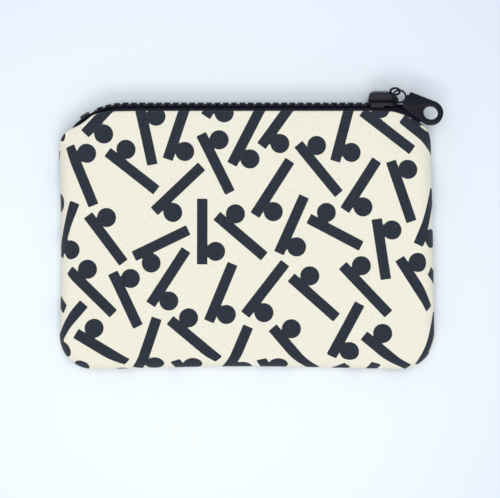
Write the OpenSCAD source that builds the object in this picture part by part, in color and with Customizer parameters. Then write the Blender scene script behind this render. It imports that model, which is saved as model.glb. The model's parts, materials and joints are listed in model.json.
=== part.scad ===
// Small lined zip pouch, lying on its back panel.
// +X runs along the zipper, +Y points at the zipper, +Z comes out of the front panel.
// The origin is the middle of the flat back face.

/* [Pouch] */
// Width across the side seams
pouch_w = 141.4; // [138:0.2:146]
// Distance from the origin to the bottom seam
bottom_drop = 51; // [49:0.5:54]
// Distance from the origin to the fold of the front panel under the zipper
fold_rise = 46.1; // [45.8:0.1:46.4]
// Thickness of the closed pouch at its zipper
depth = 12.6; // [12.4:0.1:13.6]
// Radius of the two bottom corners
corner_r = 13; // [10:0.5:18]
// Width of the sloping edge round the sides and bottom
rim_w = 4.6; // [3:0.2:4.8]

/* [Cloth] */
// Thickness of the outer cloth
cloth_t = 0.6; // [0.5:0.05:0.65]
// Thickness of the lining
lining_t = 0.4; // [0.3:0.05:0.45]
// Thickness of the zipper tape
tape_t = 0.5; // [0.4:0.05:0.5]
// Thickness of the sewing thread
thread_t = 0.4; // [0.3:0.05:0.4]

/* [Zipper] */
// Distance between neighbouring teeth of one row
tooth_pitch = 3.15; // [3:0.05:3.4]
// Width of a tooth along the zipper
tooth_w = 2.15; // [1.8:0.05:2.2]
// Width of the closed chain across both rows
chain_w = 5.75; // [5.6:0.05:5.8]
// Thickness of the chain
chain_t = 2.4; // [2.2:0.05:2.4]
// Lean of the chain towards the front panel
zip_tilt = 16; // [14:0.5:17]

/* [Slider] */
// Length of the slider body
slider_l = 11.3; // [11:0.1:11.4]
// Place of the slider's rear end when the zipper is closed
slider_rear = 45.7; // [45.4:0.1:45.8]
// Thickness of each slider plate
plate_t = 1.2; // [1:0.1:1.2]
// Width of the slider at its rear end
slider_rear_w = 7.8; // [7.8:0.1:8]
// Width of the slider at its nose
slider_nose_w = 8.5; // [8.3:0.1:8.6]

/* [Pull] */
// Distance from the eye to the middle of the ring
pull_l = 13.3; // [12.5:0.1:15]
// Outer diameter of the ring
ring_d = 9.4; // [8.6:0.1:10]
// Diameter of the hole in the ring
ring_hole_d = 5.5; // [4.5:0.1:6]
// Thickness of the pull
pull_t = 1.6; // [1.4:0.1:1.9]
// Droop of the pull below the line of the zipper
pull_droop = 25; // [23:1:27]

/* [Hidden] */
$fn = 48;

cloth_color = "#ebe6d3";
lining_color = "#e9e6dc";
zip_color = "#17171c";
steel_color = "#8f9196";
thread_color = "#dcd7c6";

// cut: reach of a cutter past what it cuts; fit: play between layers
cut = 1;
fit = 0.05;
// The rim of a panel rises in steps; mouth is how far its cutter passes the zipper edge
rim_steps = 3;
wall_in = 0.6;
mouth = 3;
arc_steps = 10;
half_w = pouch_w / 2;
seam_gap = 0.3;
half_depth = depth / 2 - seam_gap / 2;

// The zipper runs straight and turns down round a large arc at the left end.
left_turn = [-45.5, fold_rise - 26.3];
left_turn_r = 26.3;
right_turn = [56, fold_rise - 18];
right_turn_r = 18;
back_fold_rise = 1.9;
chain_y = fold_rise + 1.75;
chain_z = depth / 2;
path_r = chain_y - left_turn[1];
tape_turn = 43.5;
tape_right = 59;

// Small corners where the zipper ends meet the side seams
tuck_r = 6.6;
left_tuck = [-half_w + tuck_r, fold_rise - 13.6];
right_tuck = [half_w - tuck_r, fold_rise - 11.7];

function arc_points(centre, r, from, to) =
  [for (i = [0:arc_steps]) let (a = from + (to - from) * i / arc_steps) centre + r * [cos(a), sin(a)]];

// Outline of a panel: side_in draws the sides and bottom in, top_out moves the zipper edge out.
function panel_outline(side_in, top_out) = concat(
  arc_points([-half_w + corner_r, corner_r - bottom_drop], corner_r - side_in, 180, 270),
  arc_points([half_w - corner_r, corner_r - bottom_drop], corner_r - side_in, 270, 360),
  arc_points(right_tuck, tuck_r - side_in, 0, 55),
  arc_points(right_turn, right_turn_r + top_out, 82, 90),
  arc_points(left_turn, left_turn_r + top_out, 90, 122),
  arc_points(left_tuck, tuck_r - side_in, 115, 180)
);

// Flat ring between two outlines, open along the zipper edge
module rim_ring(outer_in, inner_in, top_out) {
  difference() {
    polygon(panel_outline(outer_in, top_out));
    polygon(panel_outline(inner_in, top_out + mouth));
  }
}

// A panel with a stepped rim that is run wide: t thick, side_in drawn in, open along the zipper edge
module dish(t, height, side_in, run, top_out) {
  step_h = height / rim_steps;
  step_in = run / (rim_steps - 1);
  linear_extrude(t) polygon(panel_outline(side_in + run, top_out));
  for (k = [0:rim_steps - 1]) {
    foot_in = side_in + run - k * step_in;
    translate([0, 0, k * step_h]) {
      linear_extrude(step_h) rim_ring(foot_in, foot_in + wall_in, top_out);
      if (k > 0) linear_extrude(t) rim_ring(foot_in, foot_in + step_in + wall_in, top_out);
    }
  }
}

module front_side() { translate([0, 0, depth]) mirror([0, 0, 1]) children(); }

lining_z = cloth_t + tape_t + 2 * fit;
lining_in = 3.1;
lining_run = 2.6;
lining_fold = -1.2;

module outer_back() { color(cloth_color) dish(cloth_t, half_depth, 0, rim_w, back_fold_rise); }
module outer_front() { color(cloth_color) front_side() dish(cloth_t, half_depth, 0, rim_w, 0); }

module lining_dish() {
  translate([0, 0, lining_z]) dish(lining_t, half_depth - lining_z, lining_in, lining_run, lining_fold);
}
module lining_back() { color(lining_color) lining_dish(); }
module lining_front() { color(lining_color) front_side() lining_dish(); }

// Zipper frame: local Y stands on the chain's face, local Z runs across the chain to the front.
module zip_frame() { translate([0, chain_y, chain_z]) rotate([zip_tilt, 0, 0]) children(); }

// Point of the zipper's cross-section, as [Y, Z], across the chain from its middle
function across_chain(u) = [chain_y - u * sin(zip_tilt), chain_z + u * cos(zip_tilt)];

// Placement at distance s along the zipper, past the left turn too
module at_station(s) {
  turn = s < left_turn[0] ? (left_turn[0] - s) / path_r * 180 / PI : 0;
  translate(left_turn) rotate([0, 0, turn]) translate(-left_turn)
    translate([max(s, left_turn[0]), 0, 0]) zip_frame() children();
}

// Solid of a cross-section given as [Y, Z], along the straight zipper and round the left turn
module along_zip(x_end, turn) {
  translate([left_turn[0], 0, 0]) rotate([90, 0, 90]) linear_extrude(x_end - left_turn[0]) children();
  translate(left_turn) rotate([0, 0, 90]) rotate_extrude(angle = turn)
    translate([-left_turn[1], 0]) children();
}

module strip(a, b, t) {
  d = b - a;
  translate(a) rotate(atan2(d[1], d[0])) translate([0, -t / 2]) square([norm(d), t]);
}

// The two rows part inside the slider, along straight lines from spread_x
cord_r = 0.55;
cord_u = 1.6;
spread_x = 51.1;
spread_angle = 11.6;
cord_end_x = 56.3;
cord_joint = 0.1;

tape_edge_u = cord_u + cord_r;
tape_bend_u = 4.85;
leg_z = cloth_t + fit + tape_t / 2;
leg_end_y = 36;
seam_y = 42.5;
groove_t = tape_t * 0.6;
front = 1;
back = -1;

// Height of a layer that lies z from the outside of its own panel
function layer_z(side, z) = side == front ? depth - z : z;

module tape_section(side) {
  bend = across_chain(side * tape_bend_u);
  leg_top = [side == front ? fold_rise - 0.9 : chain_y - 0.25, layer_z(side, leg_z)];
  difference() {
    union() {
      strip(across_chain(side * tape_edge_u), bend, tape_t);
      strip(bend, leg_top, tape_t);
      strip([leg_end_y, leg_top[1]], leg_top, tape_t);
      for (joint = [bend, leg_top]) translate(joint) circle(d = tape_t);
    }
    seam_section(side, fit);
  }
}

// Thread of the seam that holds the tape, sunk in the lining side of the tape
module seam_section(side, grow) {
  inner = leg_z + tape_t / 2;
  centre_z = layer_z(side, inner - groove_t / 2 + grow / 2);
  translate([seam_y, centre_z])
    square([thread_t + 2 * grow, groove_t - fit + grow], center = true);
}

module zip_tape(side) {
  notch_u = 3.4;
  difference() {
    along_zip(tape_right, tape_turn) tape_section(side);
    zip_frame() translate([spread_x, -cut, -notch_u]) cube([tape_right, 2 * cut, 2 * notch_u]);
  }
}
module zip_tape_back() { color(zip_color) zip_tape(back); }
module zip_tape_front() { color(zip_color) zip_tape(front); }

module tape_cord(side) {
  along_zip(spread_x, tape_turn) translate(across_chain(side * cord_u)) circle(r = cord_r);
  zip_frame() translate([spread_x, 0, side * cord_u]) rotate([0, 90 - side * spread_angle, 0])
    translate([0, 0, cord_joint])
      cylinder(r = cord_r, h = (cord_end_x - spread_x) / cos(spread_angle) - cord_joint);
}
module tape_cord_back() { color(zip_color) tape_cord(back); }
module tape_cord_front() { color(zip_color) tape_cord(front); }

// Solid between two heights above the chain's middle, of an outline given as [x, across]
module layer(low, high) {
  translate([0, high, 0]) rotate([90, 0, 0]) linear_extrude(high - low) children();
}

// Room for cord and tape in a moulded block l long
module cord_channel(l, play) {
  translate([-l / 2 - cut, 0, cord_u]) rotate([0, 90, 0]) cylinder(r = cord_r + play, h = l + 2 * cut);
  translate([-l / 2 - cut, -tape_t / 2 - play, cord_u]) cube([l + 2 * cut, tape_t + 2 * play, chain_w]);
}

shoulder_u = 0.8;
head_u = 0.55;
head_w = 1.2;
tooth_play = 0.1;
module tooth() {
  difference() {
    layer(-chain_t / 2, chain_t / 2) {
      translate([-tooth_w / 2, shoulder_u]) square([tooth_w, chain_w / 2 - shoulder_u]);
      translate([-head_w / 2, -head_u]) square([head_w, shoulder_u + head_u]);
    }
    cord_channel(tooth_w, tooth_play);
  }
}

first_tooth = -18;
last_tooth = 16;
module tooth_row(side) {
  shift = side == front ? 0 : 0.5;
  for (i = [first_tooth:last_tooth]) {
    s = (i + shift) * tooth_pitch;
    at_station(s) mirror([0, 0, side == front ? 0 : 1]) spread(s) tooth();
  }
}

// Moves a block outwards where the rows part
module spread(s) {
  past = max(s - spread_x, 0);
  translate([0, 0, past * tan(spread_angle)]) rotate([0, past > 0 ? -spread_angle : 0, 0]) children();
}
module teeth_back() { color(zip_color) tooth_row(back); }
module teeth_front() { color(zip_color) tooth_row(front); }

stop_l = 3.7;
stop_s = -61.1;
stop_play = 0.11;
module bottom_stop() {
  color(zip_color) at_station(stop_s) difference() {
    layer(-chain_t / 2 - 0.15, chain_t / 2 + 0.15)
      translate([-stop_l / 2, -chain_w / 2]) square([stop_l, chain_w]);
    for (m = [0, 1]) mirror([0, 0, m]) cord_channel(stop_l, stop_play);
  }
}

top_stop_l = 2;
top_stop_x = 55;
module top_stop(side) {
  inner_u = 0.95;
  color(zip_color) at_station(top_stop_x) mirror([0, 0, side == front ? 0 : 1]) spread(top_stop_x)
    difference() {
      layer(-chain_t / 2, chain_t / 2)
        translate([-top_stop_l / 2, inner_u]) square([top_stop_l, chain_w / 2 - inner_u]);
      cord_channel(top_stop_l, tooth_play);
    }
}
module top_stop_back() { top_stop(back); }
module top_stop_front() { top_stop(front); }

// Slider: two plates, joined at the nose by a wedge and edged with flanges
channel = chain_t / 2 + 0.15;
plate_top = channel + plate_t;
nose_x = slider_rear + slider_l;
rear_corner = 1.4;
nose_corner = 2.8;

function slider_outline() = let (
    rear_c = [slider_rear + rear_corner, slider_rear_w / 2 - rear_corner],
    nose_c = [nose_x - nose_corner, slider_nose_w / 2 - nose_corner]
  ) concat(
    arc_points([rear_c[0], -rear_c[1]], rear_corner, 180, 270),
    arc_points([nose_c[0], -nose_c[1]], nose_corner, 270, 360),
    arc_points(nose_c, nose_corner, 0, 90),
    arc_points(rear_c, rear_corner, 90, 180)
  );

module slider_body() {
  flange_in = chain_w / 2 + 0.33;
  flange_l = 5.8;
  tape_slot = 0.45;
  wedge_l = 2.6;
  wedge_w = 2;
  color(zip_color) zip_frame() {
    for (m = [0, 1]) mirror([0, m, 0]) {
      layer(channel, plate_top) polygon(slider_outline());
      layer(tape_slot, channel) intersection() {
        polygon(slider_outline());
        for (side = [front, back])
          translate([slider_rear, side == front ? flange_in : -slider_nose_w / 2 - flange_in])
            square([flange_l, slider_nose_w / 2]);
      }
    }
    layer(-channel, channel) polygon([
      [nose_x - 0.4 - wedge_l, 0], [nose_x - 0.4 - wedge_l / 2, -wedge_w / 2],
      [nose_x - 0.4, -wedge_w / 2], [nose_x - 0.4, wedge_w / 2], [nose_x - 0.4 - wedge_l / 2, wedge_w / 2]
    ]);
  }
}

// Crown: a cap over the lock spring, and a round loop at the nose that carries the pull
loop_x = 55.8;
loop_n = plate_top + 3.4;
loop_r = 2.25;
loop_t = 0.75;
loop_w = 0.8;
cap_from = 46.9;
cap_to = 54.2;
cap_w = 3.4;
cap_h = 3.05;
cap_corner = 2.2;
cap_wall = 0.6;

// Solid of an outline given as [x, height], centred across the chain
module rib(w) { translate([0, 0, -w / 2]) linear_extrude(w) children(); }

module slider_crown() {
  color(zip_color) zip_frame() {
    difference() {
      rib(cap_w) polygon(concat(
        [[cap_to, plate_top], [cap_to, plate_top + cap_h]],
        arc_points([cap_from + cap_corner, plate_top + cap_h - cap_corner], cap_corner, 90, 180),
        [[cap_from, plate_top]]
      ));
      rib(cap_w - 2 * cap_wall) polygon([
        [cap_to - cap_wall, plate_top - cut], [cap_to - cap_wall, plate_top + cap_h - cap_wall],
        [cap_from + cap_corner, plate_top + cap_h - cap_wall], [cap_from + cap_wall, plate_top + cap_wall],
        [cap_from + cap_wall, plate_top - cut]
      ]);
    }
    rib(loop_w) difference() {
      union() {
        translate([loop_x, loop_n]) circle(r = loop_r);
        translate([cap_to - cap_wall, plate_top + cap_h - loop_t])
          square([loop_x - loop_r - cap_to + cap_wall + loop_t, loop_t]);
        translate([loop_x - loop_w, plate_top]) square([2 * loop_w, loop_n - loop_r - plate_top + loop_t / 2]);
      }
      translate([loop_x, loop_n]) circle(r = loop_r - loop_t);
    }
  }
}

module lock_spring() {
  spring_t = 0.25;
  spring_w = 1.6;
  color(steel_color) zip_frame() rib(spring_w) {
    from = [cap_from + 1, plate_top + spring_t];
    knee = [cap_from + 3.4, plate_top + 2];
    to = [cap_to - 0.95, plate_top + 1.2];
    strip(from, knee, spring_t);
    strip(knee, to, spring_t);
    strip([to[0], plate_top + 0.1], to, spring_t);
    for (joint = [knee, to]) translate(joint) circle(d = spring_t);
  }
}

// Pull: an eye round the crown's loop, a flaring shank and a large ring
eye_r = 2.7;
eye_hole_r = 2.1;
eye_t = 0.7;
eye_reach = 2.3;
shank_from = 2.9;
shank_half = 3.45;
pull_roll = 27;
pull_pitch = 12;

// Pull frame: local X along the pull from the loop's middle, local Z through its flat face
module pull_frame() {
  loop_z = chain_z + loop_n * sin(zip_tilt);
  translate([loop_x, chain_y + loop_n * cos(zip_tilt), loop_z])
    rotate([0, 0, -pull_droop]) rotate([0, -pull_pitch, 0]) rotate([-pull_roll, 0, 0])
      translate([eye_reach, 0, 0]) children();
}

module pull_tab() {
  ring_r = ring_d / 2;
  color(zip_color) pull_frame() difference() {
    union() {
      translate([0, 0, -eye_t / 2]) cylinder(r = eye_r, h = eye_t);
      translate([0, 0, -pull_t / 2]) linear_extrude(pull_t)
        polygon([
          [shank_from, -shank_half], [pull_l, -ring_r], [pull_l, ring_r], [shank_from, shank_half]
        ]);
      translate([eye_hole_r + 0.2, -eye_hole_r, -eye_t / 2]) cube([shank_from - eye_hole_r, 2 * eye_hole_r, eye_t]);
      translate([pull_l, 0, -pull_t / 2]) cylinder(d = ring_d, h = pull_t);
    }
    translate([0, 0, -eye_t]) cylinder(r = eye_hole_r, h = 2 * eye_t);
    translate([pull_l, 0, -pull_t]) cylinder(d = ring_hole_d, h = 2 * pull_t);
  }
}

module zip_seam(side) { along_zip(tape_right, tape_turn) seam_section(side, 0); }
module zip_seam_back() { color(thread_color) zip_seam(back); }
module zip_seam_front() { color(thread_color) zip_seam(front); }

// Thread of a seam round the sides and bottom, drawn in from the edge, below the zipper ends
module seam_thread(z, side_in) {
  thread_top = 32;
  translate([0, 0, z]) linear_extrude(thread_t) intersection() {
    difference() {
      polygon(panel_outline(side_in, 0));
      polygon(panel_outline(side_in + thread_t, 0));
    }
    translate([-half_w, -bottom_drop]) square([pouch_w, bottom_drop + thread_top]);
  }
}
module side_seam() { color(thread_color) seam_thread(half_depth - 0.95, 1.65); }
module lining_seam() { color(thread_color) seam_thread(half_depth - 2.55, 3.4); }

outer_back();
outer_front();
lining_back();
lining_front();
zip_tape_back();
zip_tape_front();
tape_cord_back();
tape_cord_front();
teeth_back();
teeth_front();
bottom_stop();
top_stop_back();
top_stop_front();
slider_body();
slider_crown();
lock_spring();
pull_tab();
zip_seam_back();
zip_seam_front();
side_seam();
lining_seam();
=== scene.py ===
import json
import math
import random

import bmesh
import bpy
import numpy as np
from mathutils import Matrix, Vector


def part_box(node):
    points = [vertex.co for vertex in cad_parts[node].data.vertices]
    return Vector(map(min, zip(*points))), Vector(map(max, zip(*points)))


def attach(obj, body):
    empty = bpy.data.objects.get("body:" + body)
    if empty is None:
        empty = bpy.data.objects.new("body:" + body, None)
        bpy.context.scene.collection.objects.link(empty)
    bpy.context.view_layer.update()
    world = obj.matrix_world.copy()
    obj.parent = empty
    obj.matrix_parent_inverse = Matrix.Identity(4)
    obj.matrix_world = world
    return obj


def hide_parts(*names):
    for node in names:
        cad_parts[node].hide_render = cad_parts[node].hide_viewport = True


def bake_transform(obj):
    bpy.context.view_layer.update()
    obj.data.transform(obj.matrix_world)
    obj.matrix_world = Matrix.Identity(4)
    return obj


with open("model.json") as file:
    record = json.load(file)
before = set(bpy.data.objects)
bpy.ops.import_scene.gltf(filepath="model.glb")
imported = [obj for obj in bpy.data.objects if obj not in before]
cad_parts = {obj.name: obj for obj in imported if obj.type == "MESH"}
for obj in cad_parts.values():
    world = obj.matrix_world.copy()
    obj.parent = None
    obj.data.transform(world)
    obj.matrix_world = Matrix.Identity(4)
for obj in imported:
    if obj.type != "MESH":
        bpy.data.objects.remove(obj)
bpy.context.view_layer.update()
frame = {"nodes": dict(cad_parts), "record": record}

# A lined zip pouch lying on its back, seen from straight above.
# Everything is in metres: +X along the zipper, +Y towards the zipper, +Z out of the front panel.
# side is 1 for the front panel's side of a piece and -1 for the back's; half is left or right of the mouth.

MM = 0.001

# Driving sizes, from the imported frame
BACK_LO, BACK_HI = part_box("outer_back")
FRONT_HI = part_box("outer_front")[1]
HALF_W = BACK_HI[0]
BOTTOM_Y = BACK_LO[1]
FOLD_Y = FRONT_HI[1]
DEPTH = FRONT_HI[2]

# Height of the seam line between the panels, at the zipper and at the bottom
MID_TOP = DEPTH / 2
MID_BOTTOM = 4.8 * MM

# The chain's path: straight, with a large turn at the left and a small one at the right
CHAIN_Y = FOLD_Y + 1.75 * MM
CHAIN_TILT = math.radians(16)
TURN_X = -45.5 * MM
TURN_Y = FOLD_Y - 26.3 * MM
PATH_R = CHAIN_Y - TURN_Y
RIGHT_TURN_X = 56 * MM
RIGHT_TURN_Y = FOLD_Y - 18 * MM
RIGHT_PATH_R = CHAIN_Y - RIGHT_TURN_Y

# The front pieces are split into a left and a right half at MOUTH_X.
TOOTH_PITCH = 3.15 * MM
MOUTH_X = 2.5 * TOOTH_PITCH

GRID = 0.45 * MM
EDGE_R = 5.2 * MM
EDGE_STEPS = 12

# Keeps a division safe where two points coincide
NO_LENGTH = 1e-9


# ---------------------------------------------------------------- small helpers

def smooth(t):
    t = np.clip(t, 0, 1)
    return t * t * (3 - 2 * t)


def new_mesh(name, verts, faces):
    mesh = bpy.data.meshes.new(name)
    mesh.from_pydata([tuple(v) for v in verts], [], [tuple(f) for f in faces])
    mesh.update()
    mesh.polygons.foreach_set("use_smooth", [True] * len(mesh.polygons))
    piece = bpy.data.objects.new(name, mesh)
    bpy.context.scene.collection.objects.link(piece)
    return piece


def sheet_faces(rows, cols, flip):
    """Quads over a grid of points, turned over where flip is true"""
    faces = []
    for i in range(rows - 1):
        for j in range(cols - 1):
            a = i * cols + j
            quad = (a, a + 1, a + cols + 1, a + cols)
            faces.append(quad[::-1] if flip else quad)
    return faces


def sleeve_faces(rings, sides, joined=False):
    """Quads between rings of points; the ends are capped, or joined to each other"""
    faces = []
    for i in range(rings if joined else rings - 1):
        here = i * sides
        there = (i + 1) % rings * sides
        for j in range(sides):
            k = (j + 1) % sides
            faces.append((here + j, here + k, there + k, there + j))
    if not joined:
        faces.append(tuple(range(sides))[::-1])
        faces.append(tuple((rings - 1) * sides + j for j in range(sides)))
    return faces


def fix_normals(piece):
    bm = bmesh.new()
    bm.from_mesh(piece.data)
    bmesh.ops.recalc_face_normals(bm, faces=bm.faces)
    bm.to_mesh(piece.data)
    bm.free()


def store(piece, name, values, kind="FLOAT"):
    """Save one value per point, for the materials to read"""
    attribute = piece.data.attributes.new(name, kind, "POINT")
    key = "vector" if kind == "FLOAT_VECTOR" else "value"
    attribute.data.foreach_set(key, np.asarray(values, np.float32).ravel())


def half_of(places, half, clear):
    """All the places, or only those of the left or right half, ending at the mouth's middle"""
    if half == "left":
        return np.concatenate([places[places < MOUTH_X - clear], [MOUTH_X]])
    if half == "right":
        return np.concatenate([[MOUTH_X], places[places > MOUTH_X + clear]])
    return places


def open_with_mouth(piece):
    """A front piece of one half, with its placement baked into its mesh; nothing bends it."""
    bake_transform(piece)


# ---------------------------------------------------------------- outline of the pouch

# How far the sewn sides stray from straight: at the bottom, at the top, and their bow in between
LEFT_STRAY = (-0.3 * MM, -0.5 * MM, 4.56 * MM)
RIGHT_STRAY = (0.3 * MM, -1.6 * MM, 1.0 * MM)

# The bottom seam's bow and its corners' radius
BOTTOM_BOW = 0.55 * MM
CORNER_R = 13.2 * MM

# The fold under the zipper, from the left seam to the right one, in millimetres
FOLD_LINE = [
    (-70.7, 33.0), (-70.2, 35.0), (-68.7, 37.4), (-66.4, 39.3), (-63.0, 40.6), (-60.3, 42.3),
    (-57.6, 44.4), (-54.5, 45.5), (-50.0, 45.9), (-40.0, 46.1), (0.0, 46.1), (50.0, 46.1),
    (56.5, 45.9), (60.5, 44.9), (65.0, 42.6), (67.8, 40.9), (69.6, 38.8), (70.4, 36.5), (70.7, 34.0),
]
FOLD_SAMPLES = 1200
FOLD_BLUR = 21

SEAM_STEPS = 700
SEAM_SIDE_STEPS = 60

# Further than any point is from the outline
FAR = 1.0


def height_share(y):
    """0 at the bottom seam and 1 at the fold"""
    return (y - BOTTOM_Y) / (FOLD_Y - BOTTOM_Y)


def stray(share, bottom, top, bow):
    return bottom + (top - bottom) * share + bow * share * (1 - share)


def side_wander(x, y):
    """The sewn sides aren't straight: they go a millimetre in or out along their length."""
    share = height_share(y)
    sideways = np.where(x < 0, stray(share, *LEFT_STRAY), stray(share, *RIGHT_STRAY))
    return sideways * smooth(np.abs(x) / HALF_W)


def bottom_line(x):
    """The bottom seam's place at x, with its round corners"""
    past = np.abs(x) - (HALF_W - CORNER_R)
    corner = np.where(past > 0, CORNER_R - np.sqrt(np.clip(CORNER_R ** 2 - past ** 2, 0, None)), 0)
    bow = BOTTOM_BOW * (1 + np.cos(x / HALF_W * math.pi))
    return BOTTOM_Y + bow + corner


def fold_line(x):
    """The fold's place at x, with the corners between its points blurred away"""
    points = np.array(FOLD_LINE) * MM
    fine = np.linspace(-HALF_W, HALF_W, FOLD_SAMPLES)
    y = np.interp(fine, points[:, 0], points[:, 1])
    kernel = np.hanning(FOLD_BLUR)
    padded = np.pad(y, FOLD_BLUR // 2, mode="edge")
    y = np.convolve(padded, kernel / kernel.sum(), mode="valid")
    return np.interp(x, fine, y)


def seam_outline():
    """Points along the left side, the bottom and the right side, where the two panels are sewn together"""
    x = np.linspace(-HALF_W, HALF_W, SEAM_STEPS)
    left_y = np.linspace(fold_line(-HALF_W), bottom_line(-HALF_W), SEAM_SIDE_STEPS)
    right_y = np.linspace(bottom_line(HALF_W), fold_line(HALF_W), SEAM_SIDE_STEPS)
    left = [(-HALF_W, y) for y in left_y]
    right = [(HALF_W, y) for y in right_y]
    return np.array(left + list(zip(x, bottom_line(x))) + right)


def distance_to(outline, points):
    """Distance from each point to a polyline, and the direction to the nearest place on it"""
    best = np.full(len(points), FAR)
    towards = np.zeros((len(points), 2))
    for a, b in zip(outline[:-1], outline[1:]):
        along = b - a
        t = np.clip(((points - a) @ along) / max(along @ along, NO_LENGTH ** 2), 0, 1)
        gap = a + t[:, None] * along - points
        d = np.hypot(gap[:, 0], gap[:, 1])
        closer = d < best
        best[closer] = d[closer]
        towards[closer] = gap[closer]
    norm = np.maximum(np.hypot(towards[:, 0], towards[:, 1]), NO_LENGTH)
    return best, towards / norm[:, None]


def edge_spaced(low, high):
    """Places from low to high, close together near both ends where the cloth rolls over"""
    turn = np.linspace(0, math.pi / 2, EDGE_STEPS + 1)
    roll = EDGE_R * (1 - np.cos(turn))
    count = max(2, round((high - low - 2 * EDGE_R) / GRID))
    inner = np.linspace(low + EDGE_R, high - EDGE_R, count)
    return np.concatenate([low + roll[:-1], inner, (high - roll[:-1])[::-1]])


SEAM = seam_outline()

# The front panel's rise above the seam line, which sinks towards the zipper's two corners
RISE_BOTTOM = 4.1 * MM
RISE_TOP = DEPTH - MID_TOP - 0.05 * MM
CORNER_SINK = 0.5
SINK_FROM_X = 50 * MM
SINK_RUN_X = 20 * MM
SINK_FROM_SHARE = 0.72

# Ripples in the cloth: height, length along X and length along Y
LONG_RIPPLE = (0.16 * MM, 19 * MM, 23 * MM)
SHORT_RIPPLE = (0.08 * MM, 8.5 * MM, 11 * MM)
LONG_RIPPLE_START = (1.3, 0.4)


def middle_height(y):
    """Height of the seam line between the two panels"""
    return MID_BOTTOM + (MID_TOP - MID_BOTTOM) * np.clip(height_share(y), 0, 1)


def ripple(x, y):
    height, run_x, run_y = LONG_RIPPLE
    start_x, start_y = LONG_RIPPLE_START
    total = height * np.sin(x / run_x + start_x) * np.sin(y / run_y + start_y)
    height, run_x, run_y = SHORT_RIPPLE
    return total + height * np.sin(x / run_x + y / run_y)


def panel_rise(x, y):
    """Height of the front panel above the seam line, away from its edges"""
    share = np.clip(height_share(y), 0, 1)
    rise = RISE_BOTTOM + (RISE_TOP - RISE_BOTTOM) * smooth(share)
    near_side = smooth((np.abs(x) - SINK_FROM_X) / SINK_RUN_X)
    near_top = smooth((share - SINK_FROM_SHARE) / (1 - SINK_FROM_SHARE))
    return rise * (1 - CORNER_SINK * near_side * near_top) + ripple(x, y) * (1 - share)


# ---------------------------------------------------------------- the print on the cloth, in millimetres

CLOTH = (159.0, 123.0)
MOTIF_COLS = 9
MOTIF_ROWS = 6
MOTIF_SEED = 11
MOTIF_JITTER = 0.2

BAR_L = 23.5
BAR_L_SPREAD = 1.5
BAR_W = 4.0
BAR_DISCS = 7
BAR_MARGIN = 0.25
DOT_R = 3.6
DOT_FROM_END = 4.9
DOT_OVERLAP = 0.5

RIGHT_LEANING = 0.55
RIGHT_LEAN = (14, 44)
LEFT_LEAN = (18, 58)

# Pushing the motifs apart: the space between them, the steps, and how fast and far each moves and turns
CLEAR = 2.6
PUSH_STEPS = 500
PUSH = 0.16
PUSH_MOST = 1.5
TURN = 0.0016
TURN_MOST = 0.06

OFF_PRINT = 9.0


class Motif:
    """A bar with a dot against its right side: bars that lean right have it low, the others high."""

    def __init__(self, rng, x, y):
        self.at = np.array([x, y])
        leans_right = rng.random() < RIGHT_LEANING
        lean = rng.uniform(*RIGHT_LEAN) if leans_right else rng.uniform(*LEFT_LEAN)
        self.angle = math.radians(90 - lean if leans_right else 90 + lean)
        self.dot_end = -1 if leans_right else 1
        self.length = BAR_L + rng.uniform(-BAR_L_SPREAD, BAR_L_SPREAD)

    def dot(self):
        """The dot's centre, along the bar and across it"""
        return np.array([self.dot_end * (self.length / 2 - DOT_FROM_END), -(BAR_W / 2 + DOT_R - DOT_OVERLAP)])

    def discs(self):
        """The motif as discs (x, y, radius), for keeping motifs apart"""
        along = np.linspace(-1, 1, BAR_DISCS) * (self.length / 2 - BAR_W / 2)
        local = [(a, 0, BAR_W / 2 + BAR_MARGIN) for a in along] + [(*self.dot(), DOT_R)]
        c = math.cos(self.angle)
        s = math.sin(self.angle)
        return [(self.at[0] + c * u - s * v, self.at[1] + s * u + c * v, r) for u, v, r in local]


def push_apart(motifs):
    """Move and turn each motif a little, away from those too near; the cloth repeats past its edges"""
    owner = np.repeat(np.arange(len(motifs)), BAR_DISCS + 1)
    other = owner[:, None] != owner[None, :]
    size = np.array(CLOTH)
    discs = np.array([d for m in motifs for d in m.discs()])
    gap = discs[:, None, :2] - discs[None, :, :2]
    gap -= size * np.round(gap / size)
    dist = np.maximum(np.hypot(gap[..., 0], gap[..., 1]), NO_LENGTH)
    too_near = np.clip(discs[:, None, 2] + discs[None, :, 2] + CLEAR - dist, 0, None)
    press = np.where(other, too_near, 0)
    push = (gap / dist[..., None] * press[..., None]).sum(1)
    for k, motif in enumerate(motifs):
        mine = owner == k
        arm = discs[mine, :2] - motif.at
        force = push[mine]
        turn = (arm[:, 0] * force[:, 1] - arm[:, 1] * force[:, 0]).sum()
        motif.at = motif.at + np.clip(PUSH * force.sum(0), -PUSH_MOST, PUSH_MOST)
        motif.angle += float(np.clip(TURN * turn, -TURN_MOST, TURN_MOST))


def laid_out_motifs():
    """Motifs scattered over the cloth and pushed apart until none touch"""
    rng = random.Random(MOTIF_SEED)
    motifs = []
    for i in range(MOTIF_COLS):
        for j in range(MOTIF_ROWS):
            x = (i + 0.5 * (j % 2) + rng.uniform(-MOTIF_JITTER, MOTIF_JITTER)) * CLOTH[0] / MOTIF_COLS
            y = (j + rng.uniform(-MOTIF_JITTER, MOTIF_JITTER)) * CLOTH[1] / MOTIF_ROWS
            motifs.append(Motif(rng, x, y))
    for _ in range(PUSH_STEPS):
        push_apart(motifs)
    return motifs


MOTIFS = laid_out_motifs()


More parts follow.
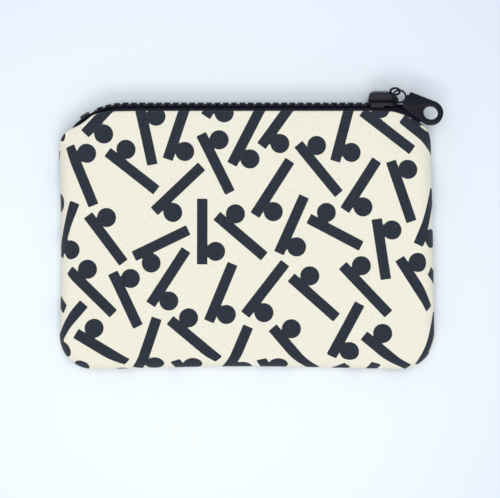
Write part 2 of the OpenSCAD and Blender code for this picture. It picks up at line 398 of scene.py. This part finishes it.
def print_depth(cloth):
    """Distance in millimetres to the nearest printed edge at each cloth point, negative inside the print"""
    points = cloth / MM
    size = np.array(CLOTH)
    depth = np.full(len(points), OFF_PRINT)
    for motif in MOTIFS:
        d = points - motif.at
        d -= size * np.round(d / size)
        c = math.cos(motif.angle)
        s = math.sin(motif.angle)
        u = d[:, 0] * c + d[:, 1] * s
        v = -d[:, 0] * s + d[:, 1] * c
        bar = np.maximum(np.abs(u) - motif.length / 2, np.abs(v) - BAR_W / 2)
        dot_u, dot_v = motif.dot()
        dot = np.hypot(u - dot_u, v - dot_v) - DOT_R
        depth = np.minimum(depth, np.minimum(bar, dot))
    return depth


# ---------------------------------------------------------------- cloth panels

# The back's fold sits higher than the front's, except near the sides.
BACK_HIGHER = 1.9 * MM
BACK_HIGHER_RUN = 14 * MM
SHORTEST_COLUMN = 2 * MM

# The cloth turns in over the fold: round a small roll, no deeper than its share of the room, then inside.
ROLL_R = 0.75 * MM
ROLL_STEPS = 6
ROLL_SHARE = 0.45
ROLL_LEAST = 0.05 * MM
TURNED_IN = 5 * MM

# A drop makes a lining end lower, and the rolled edge takes up some cloth.
DROP_AT_FOLD = 0.8
EDGE_CLOTH = 0.62

LINING_INSET = 1.2 * MM
LINING_DROP = 1.0 * MM
PANEL_CLEAR = 0.1 * MM
BACK_CUT = (0.047, 0.021)
FRONT_CUT = (0.0, 0.0)


def flat_columns(side, inset, drop, x_places):
    """Flat places of one sheet: at each x, a column from the bottom seam up to the fold"""
    share = edge_spaced(0.0, FOLD_Y - BOTTOM_Y) / (FOLD_Y - BOTTOM_Y)
    columns = []
    for x in x_places:
        low = bottom_line(x) + inset
        higher = BACK_HIGHER * smooth((HALF_W - abs(x)) / BACK_HIGHER_RUN) if side < 0 else 0.0
        high = max(fold_line(x) + higher - ROLL_R - drop * DROP_AT_FOLD, low + SHORTEST_COLUMN)
        y = low + (high - low) * share
        columns.append(np.stack([np.full_like(y, x), y], 1))
    return np.array(columns)


def pillowed(flat, side, inset, drop):
    """The flat places lifted off the seam line with a rounded edge, and where they lie on the cloth"""
    points = flat.reshape(-1, 2)
    x = points[:, 0]
    y = points[:, 1]
    d, towards = distance_to(SEAM, points)
    t = np.clip((d - inset) / EDGE_R, 0, 1)
    rise = panel_rise(x, y) if side > 0 else middle_height(y)
    z = middle_height(y) + side * (rise * np.sqrt(1 - (1 - t) ** 2) - drop * t)
    sewn_x = x * (HALF_W - inset) / HALF_W + side_wander(x, y)
    cloth = points + towards * (EDGE_R * EDGE_CLOTH * (1 - t) ** 2)[:, None]
    return np.stack([sewn_x, y, z], 1).reshape(*flat.shape[:2], 3), cloth.reshape(flat.shape)


def turned_in(fold, fold_cloth, side):
    """The rows of points past the fold, and where they lie on the cloth"""
    room = np.abs(fold[:, 2] - middle_height(fold[:, 1]))
    depth = np.minimum(ROLL_R, room * ROLL_SHARE + ROLL_LEAST)
    rows = []
    cloth = []
    for k in range(1, ROLL_STEPS + 1):
        a = math.pi * k / ROLL_STEPS
        y = fold[:, 1] + depth * math.sin(a)
        z = fold[:, 2] - side * depth * (1 - math.cos(a))
        rows.append(np.stack([fold[:, 0], y, z], 1))
        cloth.append(fold_cloth + np.stack([0 * depth, depth * a], 1))
    rolled = rows[-1]
    rolled_cloth = cloth[-1]
    for share in (0.5, 1.0):
        rows.append(rolled - np.array([0, TURNED_IN * share, 0]))
        cloth.append(rolled_cloth + np.array([0, TURNED_IN * share]))
    return np.stack(rows, 1), np.stack(cloth, 1)


def panel(name, side, inset, drop, half, cut):
    """One sheet of cloth, from the bottom seam up to the fold under the zipper, where it turns in"""
    places = half_of(edge_spaced(-HALF_W, HALF_W), half, PANEL_CLEAR)
    top, top_cloth = pillowed(flat_columns(side, inset, drop, places), side, inset, drop)
    edge, edge_cloth = turned_in(top[:, -1], top_cloth[:, -1], side)
    full = np.concatenate([top, edge], 1)
    cloth = np.concatenate([top_cloth, edge_cloth], 1).reshape(-1, 2)
    piece = new_mesh(name, full.reshape(-1, 3), sheet_faces(full.shape[0], full.shape[1], flip=side > 0))
    shown = cloth * np.array([side, 1]) + np.array(cut)
    store(piece, "cloth", np.column_stack([shown, np.zeros(len(shown))]), "FLOAT_VECTOR")
    store(piece, "print", print_depth(shown))
    return piece


# ---------------------------------------------------------------- zipper tape, cord and teeth

TAPE_T = 0.5 * MM
TAPE_STEPS = 26
TAPE_WEAVE_STEP = 0.6 * MM
TAPE_INSIDE = 7 * MM
TAPE_CLEAR = 0.2 * MM
STATION_FROM = -72.1
STATION_TO = 66.6
STATION_STEP = 0.9

# Where the tape passes the fold: how far the search goes, and how far under the cloth it lies
FOLD_REACH = 14 * MM
FOLD_REACH_STEPS = 140
BELOW_FOLD = 0.3 * MM
UNDER_CLOTH = 1.0 * MM

# The tape's cross-section: the knee outside the fold, and the edge in the cord
KNEE_LOW = 0.1 * MM
KNEE_OUT = 4.4 * MM
KNEE_SPREAD = 0.4
EDGE_OUT = 1.7 * MM
CORD_OUT = 1.6 * MM
CORD_R = 0.56 * MM
SMOOTHINGS = 4

# The rows part inside the slider, and stay parted beyond it.
SPREAD_FROM = 51.1 * MM
SPREAD_SLOPE = 0.2
SPREAD_MOST = 1.4 * MM

# Past the bottom stop the two tapes come together and sink; the cord ends early in this tail.
TAIL_FROM = -64.4 * MM
TAIL_L = 6.6 * MM
TAIL_SINK = 2.2 * MM
TAIL_KNEE_IN = 1.2 * MM
TAIL_EDGE_IN = 0.93
TAIL_MEETS = 1.6
TAIL_WITH_CORD = 0.1

# The thread that holds the front tape, under the cloth below the fold
THREAD_R = 0.17 * MM
THREAD_SIDES = 6
THREAD_BELOW = 4.5 * MM
THREAD_UNDER = 0.35 * MM
THREAD_WAVE = 0.06 * MM
THREAD_WAVE_RUN = 1.3 * MM


def chain_frame(s):
    """Middle of the chain at s along the zipper, and the heading there; it turns down at both ends."""
    if s < TURN_X:
        a = (TURN_X - s) / PATH_R
        return TURN_X - PATH_R * math.sin(a), TURN_Y + PATH_R * math.cos(a), a
    if s > RIGHT_TURN_X:
        a = (s - RIGHT_TURN_X) / RIGHT_PATH_R
        return RIGHT_TURN_X + RIGHT_PATH_R * math.sin(a), RIGHT_TURN_Y + RIGHT_PATH_R * math.cos(a), -a
    return s, CHAIN_Y, 0.0


def across(s, n, u):
    """Point n above the chain's middle plane and u across it, at s along the zipper"""
    x, y, heading = chain_frame(s)
    out = n * math.cos(CHAIN_TILT) - u * math.sin(CHAIN_TILT)
    up = n * math.sin(CHAIN_TILT) + u * math.cos(CHAIN_TILT)
    return np.array([x - math.sin(heading) * out, y + math.cos(heading) * out, MID_TOP + up])


def fold_under(s, side):
    """Point just inside the fold of a panel, beside the zipper at s"""
    x, y, heading = chain_frame(s)
    higher = BACK_HIGHER if side < 0 else 0.0
    if heading == 0.0:
        fx = x
        fy = float(fold_line(x)) + higher
    else:
        reach = np.linspace(0, FOLD_REACH, FOLD_REACH_STEPS)
        px = x + math.sin(heading) * reach
        py = y - math.cos(heading) * reach
        inside = np.nonzero(py <= fold_line(px) + higher)[0]
        k = inside[0] if len(inside) else -1
        fx = px[k]
        fy = py[k]
    mid = float(middle_height(fy))
    face = float(panel_rise(fx, fy)) if side > 0 else mid
    return np.array([fx, fy - BELOW_FOLD, mid + side * (face - UNDER_CLOTH)])


def tape_stations(half):
    return half_of(np.arange(STATION_FROM, STATION_TO, STATION_STEP) * MM, half, TAPE_CLEAR)


def smoothed_line(points, count):
    """count places along a few points, with the corners between them smoothed"""
    points = np.array(points)
    t = np.linspace(0, len(points) - 1, count)
    line = np.stack([np.interp(t, range(len(points)), points[:, k]) for k in range(3)], 1)
    for _ in range(SMOOTHINGS):
        line[1:-1] = 0.25 * line[:-2] + 0.5 * line[1:-1] + 0.25 * line[2:]
    return line


def row_spread(s):
    """How far each row has parted from the closed chain, inside the slider and past it"""
    return float(np.clip((s - SPREAD_FROM) * SPREAD_SLOPE, 0, SPREAD_MOST))


def tape_tail(s):
    """0 along the chain, rising to 1 where the tape ends meet and tuck in, past the bottom stop"""
    return float(np.clip((TAIL_FROM - s) / TAIL_L, 0, 1))


def tape_ring(s, side):
    """The tape's outline at s: out from inside the seam, past the fold to the cord, and back"""
    fold = fold_under(s, side)
    spread = row_spread(s)
    tail = tape_tail(s)
    sink = TAIL_SINK * tail ** 3
    knee = across(s, -KNEE_LOW - sink, side * (KNEE_OUT + spread * KNEE_SPREAD - TAIL_KNEE_IN * tail))
    edge_out = (EDGE_OUT + spread) * (1 - TAIL_EDGE_IN * smooth(TAIL_MEETS * tail))
    edge = across(s, -sink, side * edge_out)
    line = smoothed_line([fold - np.array([0, TAPE_INSIDE, 0]), fold, knee, edge], TAPE_STEPS)
    heading = chain_frame(s)[2]
    along = np.array([math.cos(heading), math.sin(heading), 0])
    normal = np.cross(along, np.gradient(line, axis=0))
    normal /= np.linalg.norm(normal, axis=1)[:, None]
    return np.concatenate([line + normal * TAPE_T / 2, (line - normal * TAPE_T / 2)[::-1]])


def tape(name, side, half=None):
    """Woven tape from inside the seam, out past the fold and across to the cord"""
    stations = tape_stations(half)
    rings = np.array([tape_ring(s, side) for s in stations])
    rows, cols = rings.shape[:2]
    piece = new_mesh(name, rings.reshape(-1, 3), sleeve_faces(rows, cols))
    there = np.arange(TAPE_STEPS)
    weave = np.concatenate([there, there[::-1]]) * TAPE_WEAVE_STEP
    cloth = np.stack([np.repeat(stations, cols), np.tile(weave, rows), np.zeros(rows * cols)], 1)
    store(piece, "cloth", cloth, "FLOAT_VECTOR")
    fix_normals(piece)
    return piece


def tube(name, line, radius, sides=10):
    """A round thread or cord along a line of points"""
    line = np.array(line)
    tangent = np.gradient(line, axis=0)
    tangent /= np.linalg.norm(tangent, axis=1)[:, None]
    verts = []
    for p, t in zip(line, tangent):
        a = np.cross(t, (0, 0, 1.0))
        a /= np.linalg.norm(a)
        b = np.cross(t, a)
        for k in range(sides):
            turn = 2 * math.pi * k / sides
            verts.append(p + radius * (math.cos(turn) * a + math.sin(turn) * b))
    piece = new_mesh(name, verts, sleeve_faces(len(line), sides))
    fix_normals(piece)
    return piece


def tape_cord(name, side, half=None):
    stations = [s for s in tape_stations(half) if tape_tail(s) <= TAIL_WITH_CORD]
    line = [across(s, 0, side * (CORD_OUT + row_spread(s))) for s in stations]
    return tube(name, line, CORD_R)


def tape_thread(name, half):
    """The thread that sews the front tape in, waving a little from stitch to stitch"""
    line = []
    for s in tape_stations(half):
        wave = THREAD_WAVE * math.sin(s / THREAD_WAVE_RUN)
        line.append(fold_under(s, 1) + np.array([0, -THREAD_BELOW, wave - THREAD_UNDER]))
    return tube(name, line, THREAD_R, THREAD_SIDES)


# ---------------------------------------------------------------- moulded and cast shapes

MERGE_DISTANCE = 1e-6
FLAT_ANGLE = math.radians(1)
BEVEL_ANGLE = math.radians(35)
SHARP_ANGLE = math.radians(40)

TOOTH_BEVEL = 0.22 * MM
CAST_BEVEL = 0.3 * MM
CAST_BEVEL_STEPS = 3

# The crown's side view: along the zipper, and above the chain's middle plane, in millimetres
CROWN_PROFILE = [
    (46.0, 2.2), (46.0, 4.0), (46.35, 5.0), (47.1, 5.6), (48.2, 5.85), (53.6, 5.8), (54.6, 5.5), (55.8, 4.75),
    (56.9, 3.6), (57.0, 2.2),
]
CROWN_HALF_W = 1.9 * MM
CROWN_BEVEL = 0.45 * MM
CROWN_BEVEL_STEPS = 4

LOOP_CENTRE = Vector((55.76, 53.55, 9.7)) * MM
LOOP_NORMAL = Vector((-0.1, -1.19, 1.0)).normalized()
LOOP_R = 1.74 * MM
LOOP_STEPS = 48
WIRE_R = 0.42 * MM
WIRE_SIDES = 12


def apply_modifiers(piece):
    graph = bpy.context.evaluated_depsgraph_get()
    final = bpy.data.meshes.new_from_object(piece.evaluated_get(graph))
    piece.modifiers.clear()
    piece.data = final


def round_edges(piece, width, segments):
    modifier = piece.modifiers.new("edges", "BEVEL")
    modifier.width = width
    modifier.segments = segments
    modifier.limit_method = "ANGLE"
    modifier.angle_limit = BEVEL_ANGLE
    modifier.use_clamp_overlap = True
    apply_modifiers(piece)
    mesh = piece.data
    mesh.polygons.foreach_set("use_smooth", [True] * len(mesh.polygons))
    mesh.set_sharp_from_angle(angle=SHARP_ANGLE)


def rounded_copy(node, name, bevel, segments=2, keep=None):
    """The CAD node's shape with its edges rounded; keep(x) says which of its separate solids stay."""
    mesh = frame["nodes"][node].data.copy()
    piece = bpy.data.objects.new(name, mesh)
    bpy.context.scene.collection.objects.link(piece)
    bm = bmesh.new()
    bm.from_mesh(mesh)
    bmesh.ops.remove_doubles(bm, verts=bm.verts, dist=MERGE_DISTANCE)
    if keep is not None:
        gone = [v for v in bm.verts if not keep(v.co.x)]
        bmesh.ops.delete(bm, geom=gone, context="VERTS")
    bmesh.ops.dissolve_limit(bm, angle_limit=FLAT_ANGLE, verts=bm.verts, edges=bm.edges)
    bm.to_mesh(mesh)
    bm.free()
    round_edges(piece, bevel, segments)
    return piece


def crown_block():
    """The bridge over the slider: its side view carried across, with rounded edges"""
    sides = [[across(x * MM, n * MM, u) for x, n in CROWN_PROFILE] for u in (-CROWN_HALF_W, CROWN_HALF_W)]
    piece = new_mesh("crown_block", sides[0] + sides[1], sleeve_faces(2, len(CROWN_PROFILE)))
    fix_normals(piece)
    round_edges(piece, CROWN_BEVEL, CROWN_BEVEL_STEPS)
    return piece


def crown_loop():
    """The wire loop at the crown's nose, which holds the pull's eye"""
    side = LOOP_NORMAL.orthogonal().normalized()
    up = LOOP_NORMAL.cross(side)
    verts = []
    for k in range(LOOP_STEPS):
        a = 2 * math.pi * k / LOOP_STEPS
        out = math.cos(a) * side + math.sin(a) * up
        for j in range(WIRE_SIDES):
            b = 2 * math.pi * j / WIRE_SIDES
            round_wire = WIRE_R * math.cos(b) * out + WIRE_R * math.sin(b) * LOOP_NORMAL
            verts.append(LOOP_CENTRE + LOOP_R * out + round_wire)
    piece = new_mesh("crown_loop", verts, sleeve_faces(LOOP_STEPS, WIRE_SIDES, joined=True))
    fix_normals(piece)
    return piece


def turned(droop, pitch, roll):
    """The pull's turn in degrees: down in the pouch's plane, up out of it, and about its own length"""
    return (Matrix.Rotation(math.radians(-droop), 3, "Z") @ Matrix.Rotation(math.radians(-pitch), 3, "Y")
            @ Matrix.Rotation(math.radians(-roll), 3, "X"))


# Where the CAD pull's eye sits and how it is turned, and the flatter way the pull lies in the scene
CAD_EYE = Vector((57.839, 52.619, 8.418)) * MM
CAD_TURN = turned(25, 12, 27)
EYE = Vector((57.34, 51.68, 9.69)) * MM
EYE_TURN = turned(28.6, 5.2, 13.7)


def pull_lying_down():
    piece = rounded_copy("pull_tab", "pull_cast", CAST_BEVEL, CAST_BEVEL_STEPS)
    turn = EYE_TURN @ CAD_TURN.transposed()
    for vertex in piece.data.vertices:
        vertex.co = EYE + turn @ (vertex.co - CAD_EYE)
    piece.data.update()
    return piece


# ---------------------------------------------------------------- materials

# Colours, in linear light
CREAM = (0.735, 0.687, 0.555, 1)
CREAM_LIGHT = (0.775, 0.728, 0.602, 1)
CREAM_SLUB = (0.84, 0.82, 0.73, 1)
INK = (0.012, 0.016, 0.025, 1)
INK_LIGHT = (0.022, 0.027, 0.039, 1)
INK_ON_THREAD_TOPS = (0.060, 0.066, 0.080, 1)
LINING = (0.70, 0.68, 0.60, 1)
LINING_LIGHT = (0.79, 0.77, 0.70, 1)
TAPE_BLACK = (0.003, 0.003, 0.010, 1)
TAPE_FUZZ = (0.010, 0.010, 0.022, 1)
PLASTIC_BLACK = (0.002, 0.002, 0.007, 1)
PLASTIC_SCUFF = (0.007, 0.007, 0.016, 1)
ENAMEL_BLACK = (0.003, 0.003, 0.008, 1)
ENAMEL_WORN = (0.012, 0.011, 0.021, 1)
STEEL = (0.55, 0.55, 0.57, 1)
THREAD = (0.66, 0.63, 0.54, 1)
THREAD_LIGHT = (0.78, 0.75, 0.66, 1)
# Painted light on the floor: the lit colour near a point under the pouch, and the painted shade further out
FLOOR_PAINTED_LIT = (0.775, 0.80, 0.825, 1)
FLOOR_PAINTED_SHADE = (0.60, 0.64, 0.71, 1)

# Sizes of the weaves and twists, and of the printed edge's fray in millimetres
CANVAS_PITCH = 0.42 * MM
LINING_PITCH = 0.3 * MM
TWILL_PITCH = 0.55 * MM
TWILL_SLANT = 0.8
RIB_PITCH = 0.9 * MM
TWIST_PITCH = 0.5 * MM
PRINT_FRAY = 0.22
PRINT_EDGE = 0.09


class Nodes:
    """A short way to write a material's node tree"""

    def __init__(self, name):
        self.material = bpy.data.materials.new(name)
        self.material.use_nodes = True
        self.tree = self.material.node_tree
        self.tree.nodes.clear()
        self.shader = self.tree.nodes.new("ShaderNodeBsdfPrincipled")
        out = self.tree.nodes.new("ShaderNodeOutputMaterial")
        self.tree.links.new(self.shader.outputs[0], out.inputs[0])

    def put(self, value, socket):
        """Link another node's output to a socket, or set a constant on it"""
        if isinstance(value, bpy.types.NodeSocket):
            self.tree.links.new(value, socket)
        else:
            socket.default_value = value

    def math(self, operation, a, b=0.0):
        node = self.tree.nodes.new("ShaderNodeMath")
        node.operation = operation
        self.put(a, node.inputs[0])
        self.put(b, node.inputs[1])
        return node.outputs[0]

    def wave(self, value, pitch):
        """A sine that repeats at each pitch"""
        return self.math("SINE", self.math("MULTIPLY", value, 2 * math.pi / pitch))

    def attribute(self, name, output):
        node = self.tree.nodes.new("ShaderNodeAttribute")
        node.attribute_name = name
        return node.outputs[output]

    def place(self):
        return self.tree.nodes.new("ShaderNodeTexCoord").outputs["Object"]

    def noise(self, vector, scale, detail=2.0, rough=0.5):
        node = self.tree.nodes.new("ShaderNodeTexNoise")
        self.put(vector, node.inputs["Vector"])
        node.inputs["Scale"].default_value = scale
        node.inputs["Detail"].default_value = detail
        node.inputs["Roughness"].default_value = rough
        return node.outputs[0]

    def wobble(self, vector, scale, detail, most):
        """Noise about zero"""
        return self.math("MULTIPLY", self.math("SUBTRACT", self.noise(vector, scale, detail), 0.5), most)

    def vector_math(self, operation, a, b, output):
        node = self.tree.nodes.new("ShaderNodeVectorMath")
        node.operation = operation
        self.put(a, node.inputs[0])
        node.inputs[1].default_value = b
        return node.outputs[output]

    def stretched(self, vector, x, y, z):
        return self.vector_math("MULTIPLY", vector, (x, y, z), "Vector")

    def distance(self, vector, centre):
        return self.vector_math("DISTANCE", vector, centre, "Value")

    def parts(self, vector):
        node = self.tree.nodes.new("ShaderNodeSeparateXYZ")
        self.put(vector, node.inputs[0])
        return node.outputs

    def ramp(self, value, low, high, out_low=0.0, out_high=1.0):
        node = self.tree.nodes.new("ShaderNodeMapRange")
        node.interpolation_type = "SMOOTHSTEP"
        for socket, v in zip(node.inputs, (value, low, high, out_low, out_high)):
            self.put(v, socket)
        return node.outputs[0]

    def mix(self, factor, a, b):
        node = self.tree.nodes.new("ShaderNodeMix")
        node.data_type = "RGBA"
        self.put(factor, node.inputs[0])
        self.put(a, node.inputs[6])
        self.put(b, node.inputs[7])
        return node.outputs[2]

    def bump(self, height, strength, distance):
        node = self.tree.nodes.new("ShaderNodeBump")
        node.inputs["Strength"].default_value = strength
        node.inputs["Distance"].default_value = distance
        self.put(height, node.inputs["Height"])
        self.put(node.outputs[0], self.shader.inputs["Normal"])

    def surface(self, colour, roughness, metallic=0.0, specular=0.5, sheen=0.0, sheen_rough=0.5):
        values = {
            "Base Color": colour,
            "Roughness": roughness,
            "Metallic": metallic,
            "Specular IOR Level": specular,
            "Sheen Weight": sheen,
            "Sheen Roughness": sheen_rough,
        }
        for name, value in values.items():
            self.put(value, self.shader.inputs[name])


def weave_height(n, cloth, pitch, uneven):
    """Over-and-under threads: warp and weft rise in a chequer, with uneven spacing"""
    wobble = n.wobble(cloth, scale=260.0, detail=2.0, most=uneven)
    x, y, _ = n.parts(cloth)
    u = n.math("ADD", n.math("MULTIPLY", x, math.pi / pitch), wobble)
    v = n.math("ADD", n.math("MULTIPLY", y, math.pi / pitch), wobble)
    return n.math("ABSOLUTE", n.math("MULTIPLY", n.math("SINE", u), n.math("SINE", v)))


def canvas():
    """Printed canvas: mottled cream yarn with slubs, and ink that is thinner on the tops of the threads"""
    n = Nodes("printed_canvas")
    cloth = n.attribute("cloth", "Vector")
    threads = weave_height(n, cloth, CANVAS_PITCH, uneven=1.1)
    fray = n.wobble(cloth, scale=2600.0, detail=1.0, most=PRINT_FRAY)
    ink = n.ramp(n.math("ADD", n.attribute("print", "Fac"), fray), PRINT_EDGE, -PRINT_EDGE)
    mottle = n.noise(cloth, scale=900.0, detail=3.0, rough=0.6)
    slub = n.noise(n.stretched(cloth, 1.0, 9.0, 1.0), scale=320.0)
    cream = n.mix(n.ramp(mottle, 0.3, 0.7), CREAM, CREAM_LIGHT)
    cream = n.mix(n.ramp(slub, 0.45, 0.8, 0.0, 0.35), cream, CREAM_SLUB)
    dark = n.mix(n.ramp(mottle, 0.32, 0.72), INK, INK_LIGHT)
    dark = n.mix(n.ramp(threads, 0.75, 1.0, 0.0, 0.25), dark, INK_ON_THREAD_TOPS)
    matt = n.ramp(mottle, 0.2, 0.8, 0.82, 0.95)
    n.surface(n.mix(ink, cream, dark), roughness=matt, specular=0.25, sheen=0.12)
    n.bump(n.math("ADD", threads, n.math("MULTIPLY", slub, 0.5)), strength=0.5, distance=0.12 * MM)
    return n.material


def lining_cloth():
    n = Nodes("lining_cotton")
    cloth = n.attribute("cloth", "Vector")
    mottle = n.noise(cloth, scale=500.0, detail=3.0)
    n.surface(n.mix(mottle, LINING, LINING_LIGHT), roughness=0.9, sheen=0.15)
    n.bump(weave_height(n, cloth, LINING_PITCH, uneven=0.6), strength=0.4, distance=0.1 * MM)
    return n.material


def woven_tape():
    """Black tape with a slanting twill, ribs along it and a little fuzz"""
    n = Nodes("zip_tape")
    cloth = n.attribute("cloth", "Vector")
    x, y, _ = n.parts(cloth)
    twill = n.wave(n.math("ADD", x, n.math("MULTIPLY", y, TWILL_SLANT)), TWILL_PITCH)
    ribs = n.wave(y, RIB_PITCH)
    fuzz = n.noise(cloth, scale=1800.0, detail=3.0)
    n.surface(n.mix(fuzz, TAPE_BLACK, TAPE_FUZZ), roughness=0.9, specular=0.1, sheen=0.03, sheen_rough=0.4)
    n.bump(n.math("ADD", twill, n.math("MULTIPLY", ribs, 0.5)), strength=0.5, distance=0.12 * MM)
    return n.material


def moulded_plastic():
    """Satin black plastic, scuffed a little paler and smoother in places"""
    n = Nodes("zip_plastic")
    scuff = n.noise(n.place(), scale=400.0, detail=4.0, rough=0.7)
    colour = n.mix(n.ramp(scuff, 0.5, 0.8), PLASTIC_BLACK, PLASTIC_SCUFF)
    n.surface(colour, roughness=n.ramp(scuff, 0.3, 0.7, 0.48, 0.66), specular=0.08)
    n.bump(n.noise(n.place(), scale=2500.0, detail=3.0), strength=0.12, distance=0.06 * MM)
    return n.material


def black_enamel():
    """Satin black enamel with an orange-peel surface, slightly worn"""
    n = Nodes("zip_enamel")
    wear = n.noise(n.place(), scale=700.0, detail=5.0, rough=0.7)
    colour = n.mix(n.ramp(wear, 0.62, 0.75), ENAMEL_BLACK, ENAMEL_WORN)
    n.surface(colour, roughness=n.ramp(wear, 0.3, 0.8, 0.36, 0.55), specular=0.2)
    n.bump(n.noise(n.place(), scale=1400.0), strength=0.15, distance=0.08 * MM)
    return n.material


def spring_steel():
    """Bright steel with its grain along X"""
    n = Nodes("spring_steel")
    grain = n.noise(n.stretched(n.place(), 1.0, 14.0, 14.0), scale=900.0, detail=3.0)
    n.surface(STEEL, roughness=n.ramp(grain, 0.3, 0.7, 0.22, 0.42), metallic=1.0)
    n.bump(grain, strength=0.2, distance=0.04 * MM)
    return n.material


def sewing_thread():
    n = Nodes("sewing_thread")
    x, y, z = n.parts(n.place())
    twist = n.wave(n.math("ADD", x, n.math("ADD", y, z)), TWIST_PITCH)
    fuzz = n.noise(n.place(), scale=3000.0)
    n.surface(n.mix(fuzz, THREAD, THREAD_LIGHT), roughness=0.8)
    n.bump(twist, strength=0.5, distance=0.08 * MM)
    return n.material


MATERIALS = {
    "printed_canvas": canvas(),
    "lining_cotton": lining_cloth(),
    "zip_tape": woven_tape(),
    "zip_plastic": moulded_plastic(),
    "zip_paint": black_enamel(),
    "spring_steel": spring_steel(),
    "sewing_thread": sewing_thread(),
}
SLOT_OF = {part["node"]: part["material_slot"] for part in frame["record"]["subparts"]}


def dress(piece, slot):
    piece.data.materials.clear()
    piece.data.materials.append(MATERIALS[slot])


# ---------------------------------------------------------------- the object's pieces

def cloth_pieces():
    for node, slot, inset, drop, back_cut in (
        ("outer", "printed_canvas", 0.0, 0.0, BACK_CUT),
        ("lining", "lining_cotton", LINING_INSET, LINING_DROP, FRONT_CUT),
    ):
        for half in ("left", "right"):
            piece = panel(f"{node}_front_cloth_{half}", 1, inset, drop, half, FRONT_CUT)
            dress(piece, slot)
            open_with_mouth(piece)
            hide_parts(node + "_front")
        piece = panel(node + "_back_cloth", -1, inset, drop, None, back_cut)
        dress(piece, slot)
        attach(piece, "back")
        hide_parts(node + "_back")


def zipper_pieces():
    for maker, node in ((tape, "zip_tape"), (tape_cord, "tape_cord")):
        piece = maker(node + "_back_woven", -1)
        dress(piece, "zip_tape")
        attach(piece, "back")
        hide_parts(node + "_back")
        for half in ("left", "right"):
            piece = maker(f"{node}_front_woven_{half}", 1, half)
            dress(piece, "zip_tape")
            open_with_mouth(piece)
            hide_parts(node + "_front")


def teeth_pieces():
    piece = rounded_copy("teeth_back", "teeth_back_row", TOOTH_BEVEL)
    dress(piece, "zip_plastic")
    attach(piece, "back")
    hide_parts("teeth_back")
    for half, keep in (("left", lambda x: x < MOUTH_X), ("right", lambda x: x >= MOUTH_X)):
        piece = rounded_copy("teeth_front", f"teeth_front_row_{half}", TOOTH_BEVEL, keep=keep)
        dress(piece, "zip_plastic")
        open_with_mouth(piece)
        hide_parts("teeth_front")
    piece = rounded_copy("top_stop_front", "top_stop_front_block", TOOTH_BEVEL)
    dress(piece, "zip_plastic")
    open_with_mouth(piece)
    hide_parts("top_stop_front")
    for node in ("bottom_stop", "top_stop_back"):
        piece = rounded_copy(node, node + "_block", TOOTH_BEVEL)
        dress(piece, "zip_plastic")
        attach(piece, "back")
        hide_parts(node)


def slider_pieces():
    slider = rounded_copy("slider_body", "slider_body_cast", CAST_BEVEL, CAST_BEVEL_STEPS)
    dress(slider, "zip_paint")
    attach(slider, "slider")
    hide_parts("slider_body")
    for piece in (crown_block(), crown_loop()):
        dress(piece, "zip_paint")
        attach(piece, "slider")
        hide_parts("slider_crown")
    pull = pull_lying_down()
    dress(pull, "zip_paint")
    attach(pull, "pull")
    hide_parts("pull_tab")


def seam_pieces():
    for half in ("left", "right"):
        piece = tape_thread(f"zip_seam_front_thread_{half}", half)
        dress(piece, "sewing_thread")
        open_with_mouth(piece)
        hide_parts("zip_seam_front")


def dress_cad_nodes():
    """Give every CAD node its material, for those that stay visible"""
    for name, node in frame["nodes"].items():
        node.data.materials.clear()
        node.data.materials.append(MATERIALS[SLOT_OF[name]])


# ---------------------------------------------------------------- camera, floor and light

VIEW_WIDTH = 188.4 * MM
VIEW_CENTRE = (1.3 * MM, -5.6 * MM)
CAMERA_HEIGHT = 0.80

FLOOR_HALF = 3.0
# Centre of the floor's painted pool of light, where it ends, and where its painted shade is fullest
FLOOR_PAINTED_LIGHT_AT = (-25 * MM, -25 * MM, 0)
FLOOR_PAINTED_LIGHT_TO = 0.04
FLOOR_PAINTED_SHADE_FROM = 0.24

# Each light: name, place, width and depth, watts, colour
LIGHTS = (
    ("window", (-0.05, -0.80, 1.10), (0.8, 0.4), 5.0, (1.0, 0.98, 0.95)),
    ("ceiling", (0.0, 0.05, 1.3), (0.9, 0.9), 7.2, (1.0, 0.985, 0.965)),
)
LIGHTS_AIM = Vector((0, 0, 0))
SKY_COLOUR = (0.84, 0.93, 1.03, 1)
SKY_STRENGTH = 0.72


def camera():
    data = bpy.data.cameras.new("camera")
    data.sensor_fit = "HORIZONTAL"
    data.angle = 2 * math.atan(VIEW_WIDTH / 2 / CAMERA_HEIGHT)
    eye = bpy.data.objects.new("camera", data)
    eye.location = (*VIEW_CENTRE, CAMERA_HEIGHT + MID_TOP)
    bpy.context.scene.collection.objects.link(eye)
    bpy.context.scene.camera = eye


def floor():
    """A pale floor with a painted pool of light: painted brightest under the pouch, with painted shade
    further away
    """
    corners = [(x * FLOOR_HALF, y * FLOOR_HALF, 0) for x, y in ((-1, -1), (1, -1), (1, 1), (-1, 1))]
    piece = new_mesh("floor", corners, [(0, 1, 2, 3)])
    n = Nodes("pale_floor")
    away = n.distance(n.place(), FLOOR_PAINTED_LIGHT_AT)
    n.surface(n.mix(n.ramp(away, FLOOR_PAINTED_LIGHT_TO, FLOOR_PAINTED_SHADE_FROM), FLOOR_PAINTED_LIT, FLOOR_PAINTED_SHADE), roughness=0.9)
    piece.data.materials.append(n.material)


def area_light(name, place, size, watts, colour):
    data = bpy.data.lights.new(name, "AREA")
    data.shape = "RECTANGLE"
    data.size = size[0]
    data.size_y = size[1]
    data.energy = watts
    data.color = colour
    light = bpy.data.objects.new(name, data)
    light.location = place
    light.rotation_euler = (LIGHTS_AIM - Vector(place)).to_track_quat("-Z", "Y").to_euler()
    bpy.context.scene.collection.objects.link(light)


def lights():
    for light in LIGHTS:
        area_light(*light)
    world = bpy.data.worlds.new("studio")
    world.use_nodes = True
    background = world.node_tree.nodes["Background"]
    background.inputs["Color"].default_value = SKY_COLOUR
    background.inputs["Strength"].default_value = SKY_STRENGTH
    bpy.context.scene.world = world


bpy.context.scene.view_settings.view_transform = "Standard"
cloth_pieces()
zipper_pieces()
teeth_pieces()
slider_pieces()
seam_pieces()
dress_cad_nodes()
camera()
floor()
lights()
